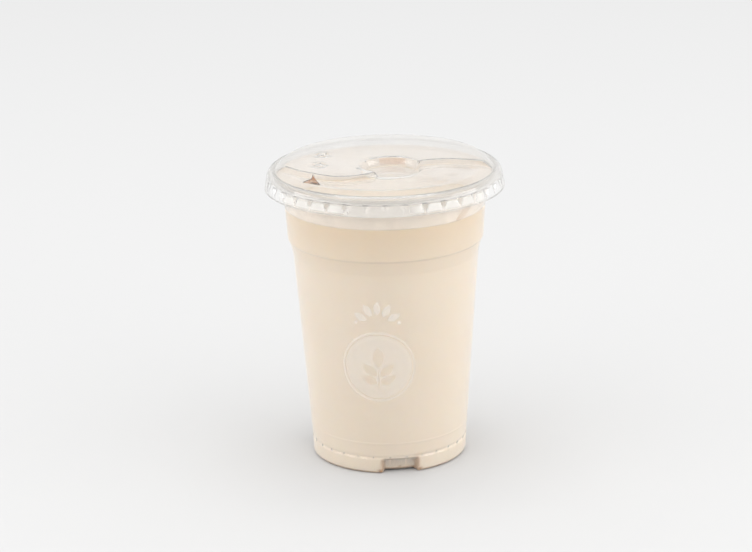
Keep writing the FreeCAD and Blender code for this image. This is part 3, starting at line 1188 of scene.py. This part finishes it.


# ---------------------------------------------------------------------------
# the print, the traces of tea and the painted shade at the sip opening
# ---------------------------------------------------------------------------
@dataclass
class CupPrint:
    """A generic mark on the cup's front: a round medallion with a sprig, under a fan of leaves.

    The stalk has its half widths at foot and top and its height. A leaf of the
    sprig has its height on the stalk, its lean in degrees and its length.
    """

    cup: Cup
    turn: float = -6.5
    middle: float = 48.5
    radius: float = 15.5
    line_at: tuple[float, float] = (1.0, 1.5)
    above_wall: float = 0.04
    grain: float = 1.2
    stalk: tuple[float, float, float] = (0.35, 0.3, 8.5)
    sprig_leaves: tuple[tuple[float, float, float], ...] = ((2.0, 62, 7.2), (5.4, 48, 7.6))
    fan_middle: float = 66.5
    fan_radius: float = 4.95
    fan_leaves: int = 5
    fan_step: float = 30.0
    dot_radius: float = 0.8
    dot_place: tuple[float, float] = (9.0, 1.5)

    @staticmethod
    def leaf(base: Vector, length: float, width: float, lean: float) -> Outline:
        """Draw a pointed leaf.

        Args:
            base: where its stalk starts.
            length: length of the blade.
            width: greatest width.
            lean: degrees from upright, to the right.

        Returns:
            The outline's points.
        """
        turn = Matrix.Rotation(-math.radians(lean), 2)
        side = [(math.sin(math.pi * t) ** 0.8 * width / 2 * (1.15 - 0.3 * t), t * length)
                for t in (0.06 * k for k in range(1, 16))]
        points = [(0.0, 0.0)] + side + [(0.0, length)] + [(-x, y) for x, y in reversed(side)]
        return [base + turn @ Vector(p) for p in points]

    def wrap(self, p: Vector) -> Vector:
        """Lay a point of the flat design on the tapered wall.

        Args:
            p: its place to the right and up.

        Returns:
            Its place in millimetres.
        """
        radius = self.cup.wall_radius(p.y) + self.above_wall
        angle = math.radians(self.turn) + p.x / radius
        return Vector((radius * math.sin(angle), -radius * math.cos(angle), p.y))

    def spots(self, low: float, high: float, reach: float) -> list[Vector]:
        """Spread points over a part of the design.

        Args:
            low: the height of its foot.
            high: the height of its top.
            reach: half its width.

        Returns:
            The points.
        """
        count = int(reach / self.grain) + 1
        rows = int((high - low) / self.grain) + 1
        return spread((0, low), (self.grain, self.grain), range(-count, count + 1), range(rows),
                      self.grain / 2)

    def sprig(self) -> list[Outline]:
        """Draw the sprig that the medallion leaves open.

        Returns:
            The outlines of its stalk, its top leaf and its two pairs of leaves.
        """
        foot = Vector((0, self.middle - 9.5))
        wide, narrow, tall = self.stalk
        outlines = [[foot + Vector(p) for p in ((-wide, 0), (wide, 0), (narrow, tall), (-narrow, tall))],
                    self.leaf(foot + Vector((0, 9.2)), 9.0, 4.4, 0)]
        for up, lean, length in self.sprig_leaves:
            outlines += [self.leaf(foot + Vector((side * 0.8, up)), length, 3.6, side * lean)
                         for side in (-1, 1)]
        return outlines

    def fan(self) -> list[Outline]:
        """Draw the fan.

        Returns:
            The outlines of its leaves and of a dot at each side.
        """
        outlines = []
        for k in range(self.fan_leaves):
            lean = (k - self.fan_leaves // 2) * self.fan_step
            turn = math.radians(lean)
            base = Vector((math.sin(turn), math.cos(turn))) * self.fan_radius
            outlines.append(self.leaf(base + Vector((0, self.fan_middle)), 6.0, 3.0, lean))
        aside, up = self.dot_place
        return outlines + [ring((side * aside, self.fan_middle + up), self.dot_radius, 16)
                           for side in (-1, 1)]

    def build(self, thin: bpy.types.Material, full: bpy.types.Material) -> None:
        """Build the medallion and the fan as thin layers on the wall.

        Args:
            thin: the medallion's ink.
            full: the fan's ink.
        """
        radii = [self.radius] + [self.radius - inwards for inwards in self.line_at]
        outlines = [ring((0, self.middle), radius, 96) for radius in radii] + self.sprig()
        spots = self.spots(self.middle - self.radius, self.middle + self.radius, self.radius)
        self.finish("print_medallion", filled(outlines, spots, self.wrap), thin)
        spots = self.spots(self.fan_middle, self.fan_middle + 13, 13.0)
        self.finish("print_leaf_fan", filled(self.fan(), spots, self.wrap), full)

    @staticmethod
    def finish(name: str, bm: bmesh.types.BMesh, ink: bpy.types.Material) -> None:
        """Face a printed layer outwards and finish it.

        Args:
            name: the layer's name.
            bm: its mesh.
            ink: its finish.
        """
        for face in bm.faces:
            middle = face.calc_center_median()
            if face.normal.dot(Vector((middle.x, middle.y, 0))) < 0:
                face.normal_flip()
        finish_piece(name, bm, ink, outward=False)


@dataclass
class TeaTracesAndShade:
    """Where the drink has been, on the wall above its level and under the lid, with painted shade in and
    along the sip opening and an amber film under the recess.

    The drip is an outline of places to the right, along the wall, and up. A blot
    has its plan place, half its width and its length over its width. Gaps and
    depths are inwards from the wall's inside and from the lid's outer face.
    """

    cup: Cup
    lid: Lid
    drip: tuple[tuple[float, float], ...] = (
        (31.9, 108.6), (33.0, 108.4), (34.6, 108.8), (36.8, 109.4), (38.8, 110.5), (40.6, 112.0),
        (41.6, 114.0), (41.4, 116.0), (39.6, 115.8), (37.6, 114.4), (35.6, 113.0), (34.0, 111.6),
        (32.6, 110.2), (31.9, 109.2))
    drip_about: float = 42.0
    drip_gap: float = 0.03
    film_gap: float = 0.12
    film_rings: int = 23
    film_pitch: float = 0.6
    film_turns: int = 180
    opening_fit: float = 0.99
    opening_depth: float = 0.3
    edge_depth: float = 0.05
    arc_from: int = 58
    arc_to: int = 116
    arc_step: int = 6
    arc_radii: tuple[float, float, float] = (11.5, 12.0, 12.5)
    arc_depth: float = 0.25
    arc_back: float = 0.4
    blots: tuple[tuple[float, float, float, float], ...] = (
        (17.5, -14.0, 3.2, 1.5), (33.0, -10.0, 4.2, 1.1), (19.0, -26.0, 5.2, 0.6), (27.5, -19.5, 2.4, 1.2))
    blot_depth: float = 0.5

    def wall_film(self, film: bpy.types.Material) -> None:
        """Build the thin film of milk that the drink has left on the wall above its level.

        Args:
            film: its finish.
        """
        heights = [self.cup.level + 0.1 + self.film_pitch * k for k in range(self.film_rings)]
        inset = self.cup.sheet + self.film_gap
        line = [(self.cup.wall_radius(z) - inset, z) for z in heights]
        finish_piece("milk_film", spun(line, self.film_turns), film)

    def wall_drip(self, film: bpy.types.Material) -> None:
        """Build the drip on the wall's inside, above the drink.

        Args:
            film: its finish.
        """
        def place(p: Vector) -> Vector:
            """Lay a point of the drip just inside the wall.

            Args:
                p: its place to the right, along the wall, and up.

            Returns:
                Its place in millimetres.
            """
            radius = self.cup.wall_radius(p.y) - self.cup.sheet - self.drip_gap
            angle = p.x / self.drip_about
            return Vector((radius * math.sin(angle), -radius * math.cos(angle), p.y))

        spots = spread((32, 108), (0.6, 0.6), range(16), range(13))
        bm = filled([[Vector(p) for p in self.drip]], spots, place)
        finish_piece("tea_drip", bm, film)

    def in_opening(self, film: bpy.types.Material) -> None:
        """Build the film that stands in the sip opening: the tea's colour with painted shade, for the
        drink seen in the shade under the lid.

        Args:
            film: its finish.
        """
        edge = grown(self.lid.sip_outline(), self.opening_fit)
        spots = spread(middle_of(self.lid.sip_outline()), (0.7, 0.7), range(-8, 9), range(-10, 11))
        bm = filled([edge], spots, lambda p: self.lid.below(p, self.opening_depth))
        finish_piece("tea_colour_and_shade_in_sip_opening", bm, film)

    def at_opening_edge(self, film: bpy.types.Material) -> None:
        """Build the dark strip along the sip opening's base: painted shadow at its cut edge.

        Args:
            film: its finish.
        """
        edge = grown(self.lid.sip_outline(), self.opening_fit)
        left, right = edge[2], edge[7]
        along = (right - left).normalized()
        inward = Vector((-along.y, along.x))
        strip = [left + inward * 0.3 + along * 2.6, right + inward * 0.2 - along * 0.3,
                 right + inward * 1.7 - along * 2.0, left + inward * 1.5 + along * 3.4]
        bm = filled([strip], [], lambda p: self.lid.below(p, self.edge_depth))
        finish_piece("painted_shadow_at_sip_edge", bm, film)

    def well_arc(self, angles: Iterable[float], radius: float) -> Outline:
        """Draw an arc about the lid's recess.

        Args:
            angles: its points' angles in radians, from the right to the rear.
            radius: its radius.

        Returns:
            The arc's plan points.
        """
        middle = Vector(self.lid.well)
        return [middle + Vector((math.cos(a), math.sin(a))) * radius for a in angles]

    def behind_recess(self, film: bpy.types.Material) -> None:
        """Build the amber film under the recess's rear wall, which tints the wall orange.

        Args:
            film: its finish.
        """
        angles = [math.radians(a) for a in range(self.arc_from, self.arc_to, self.arc_step)]
        inner, middle, outer = self.arc_radii
        band = self.well_arc(angles, inner) + self.well_arc(reversed(angles), outer)
        bm = filled([band], self.well_arc(angles[1:-1], middle),
                    lambda p: self.lid.below(p, self.arc_depth) + Vector((0, self.arc_back, 0)))
        finish_piece("amber_behind_recess", bm, film)

    def blots_under_deck(self, film: bpy.types.Material) -> None:
        """Build the uneven blots of tea on the underside of the front deck.

        Args:
            film: their finish.
        """
        for i, (x, y, size, tall) in enumerate(self.blots):
            middle = Vector((x, y))
            blot = []
            for k, p in enumerate(ring(middle, size, 21, tall, 20 * i)):
                swell = 0.16 * math.sin(0.9 * k + i) + 0.1 * math.sin(1.5 * k + 2 * i)
                blot.append(middle + (p - middle) * (1 + swell))
            spots = spread(middle, (1, 1), range(-6, 7), range(-6, 7))
            bm = filled([blot], spots, lambda p: self.lid.below(p, self.blot_depth))
            finish_piece(f"tea_blot_{i}", bm, film)


# ---------------------------------------------------------------------------
# the studio
# ---------------------------------------------------------------------------
@dataclass(frozen=True)
class Softbox:
    """One soft lamp: its place and size in metres and its power in watts."""

    name: str
    place: tuple[float, float, float]
    size: tuple[float, float]
    power: float


@dataclass
class Studio:
    """Pale floor and air, soft lamps and the camera. The paper and the lamps are in metres."""

    distance: float = 1041.7
    elevation: float = 17.5
    aim_height: float = 76.5
    aim_aside: float = -4.42
    roll: float = -1.24
    lens: float = 118.4
    paper: str = "cbcbcb"
    paper_half: float = 4.0
    air_light: str = "f4f4f4"
    air_strength: float = 1.4
    air_seen: str = "f0f0f0"
    lamp_aim: tuple[float, float, float] = (0.0, 0.0, 0.07)
    lamps: tuple[Softbox, ...] = (
        Softbox("left softbox", (-1.2, -0.55, 0.42), (1.7, 0.6), 5.5),
        Softbox("right softbox", (1.2, -0.55, 0.42), (1.7, 0.6), 6.5),
        Softbox("top softbox", (0.0, 0.4, 1.95), (1.4, 0.45), 5.2))

    def camera(self) -> None:
        """Place the camera in front of and above the cup, with a slight roll."""
        e = math.radians(self.elevation)
        rise, back = self.distance * math.sin(e), self.distance * math.cos(e)
        place = Vector((0, -back, self.aim_height + rise)) * MM
        aim = Vector((self.aim_aside, 0, self.aim_height)) * MM
        turn = (aim - place).to_track_quat("-Z", "Y").to_matrix().to_4x4()
        data = bpy.data.cameras.new("camera")
        data.lens = self.lens
        data.sensor_width = 36
        data.clip_end = 20
        view = bpy.data.objects.new("camera", data)
        roll = Matrix.Rotation(math.radians(self.roll), 4, "Z")
        view.matrix_world = Matrix.Translation(place) @ turn @ roll
        bpy.context.scene.collection.objects.link(view)
        bpy.context.scene.camera = view

    def floor(self) -> None:
        """Lay the seamless paper under and behind the cup."""
        bm = bmesh.new()
        bmesh.ops.create_grid(bm, x_segments=1, y_segments=1, size=self.paper_half)
        mesh = bpy.data.meshes.new("floor")
        bm.to_mesh(mesh)
        bm.free()
        paper = bpy.data.objects.new("floor", mesh)
        mesh.materials.append(Matt("matt seamless paper", self.paper).build())
        bpy.context.scene.collection.objects.link(paper)

    def air(self) -> None:
        """Set the pale air: one light for the object, another where it is seen or mirrored."""
        world = bpy.data.worlds.new("air")
        world.use_nodes = True
        tree = world.node_tree
        tree.nodes.clear()
        output = node(tree, "ShaderNodeOutputWorld")
        path = node(tree, "ShaderNodeLightPath")
        either = path.outputs["Is Camera Ray"]
        for ray in ("Is Transmission Ray", "Is Glossy Ray"):
            either = node(tree, "ShaderNodeMath", {"operation": "MAXIMUM"},
                          {0: either, 1: path.outputs[ray]}).outputs[0]
        light = node(tree, "ShaderNodeBackground",
                     {"Color": linear(self.air_light), "Strength": self.air_strength})
        seen = node(tree, "ShaderNodeBackground", {"Color": linear(self.air_seen), "Strength": 1.0})
        mixed = node(tree, "ShaderNodeMixShader", None,
                     {0: either, 1: light.outputs[0], 2: seen.outputs[0]})
        tree.links.new(mixed.outputs[0], output.inputs["Surface"])
        bpy.context.scene.world = world

    def hang(self, box: Softbox) -> None:
        """Hang one soft lamp that faces the cup.

        Args:
            box: the lamp.
        """
        data = bpy.data.lights.new(box.name, "AREA")
        data.shape = "RECTANGLE"
        data.size, data.size_y = box.size
        data.energy = box.power
        lamp = bpy.data.objects.new(box.name, data)
        place = Vector(box.place)
        turn = (Vector(self.lamp_aim) - place).to_track_quat("-Z", "Y").to_matrix().to_4x4()
        lamp.matrix_world = Matrix.Translation(place) @ turn
        bpy.context.scene.collection.objects.link(lamp)

    def build(self) -> None:
        """Set up the camera, floor, air and lamps."""
        self.camera()
        self.floor()
        self.air()
        for box in self.lamps:
            self.hang(box)
        bpy.context.scene.view_settings.view_transform = "Standard"


def main() -> None:
    """Build the drink, its cup and lid and the studio."""
    logging.basicConfig(level=logging.INFO, format="%(name)s %(message)s")
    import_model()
    cup = Cup()
    cup.build_sheet(FormedPet("clear thermoformed PET, cup").build())
    cup.build_drink(MilkTea().build())
    lid = Lid()
    lid.build(FormedPet("clear thermoformed PET, lid", Clarity.MISTED, veil=0.085, edge_veil=0.17,
                        veil_colour="f2f0ec", ripple_depth=0.02).build())
    CupPrint(cup).build(ScreenInk("white screen-print ink, thin", cover=0.14).build(),
                        ScreenInk("white screen-print ink, full", cover=0.2).build())
    traces = TeaTracesAndShade(cup, lid)
    traces.wall_film(FilmForTeaAndShade("thin film of milk", "f7ecdf", 0.75, patch_mm=9.0, roughness=0.4,
                             uneven=0.1).build())
    traces.wall_drip(FilmForTeaAndShade("drying tea on the wall", "d8a873", 0.22).build())
    # the tea's colour with painted shade, in the sip opening
    traces.in_opening(FilmForTeaAndShade("tea colour and painted shade in the opening", "a57f66", 0.72).build())
    # painted shadow along the sip opening's base
    traces.at_opening_edge(FilmForTeaAndShade("painted shadow at an edge", "24150d", 0.9).build())
    # an amber film that tints the recess's rear wall orange
    traces.behind_recess(FilmForTeaAndShade("amber film behind the recess", "e8a052", 0.3).build())
    traces.blots_under_deck(FilmForTeaAndShade("thin tea film", "c6965c", 0.24).build())
    Studio().build()


if __name__ == "__main__":
    main()
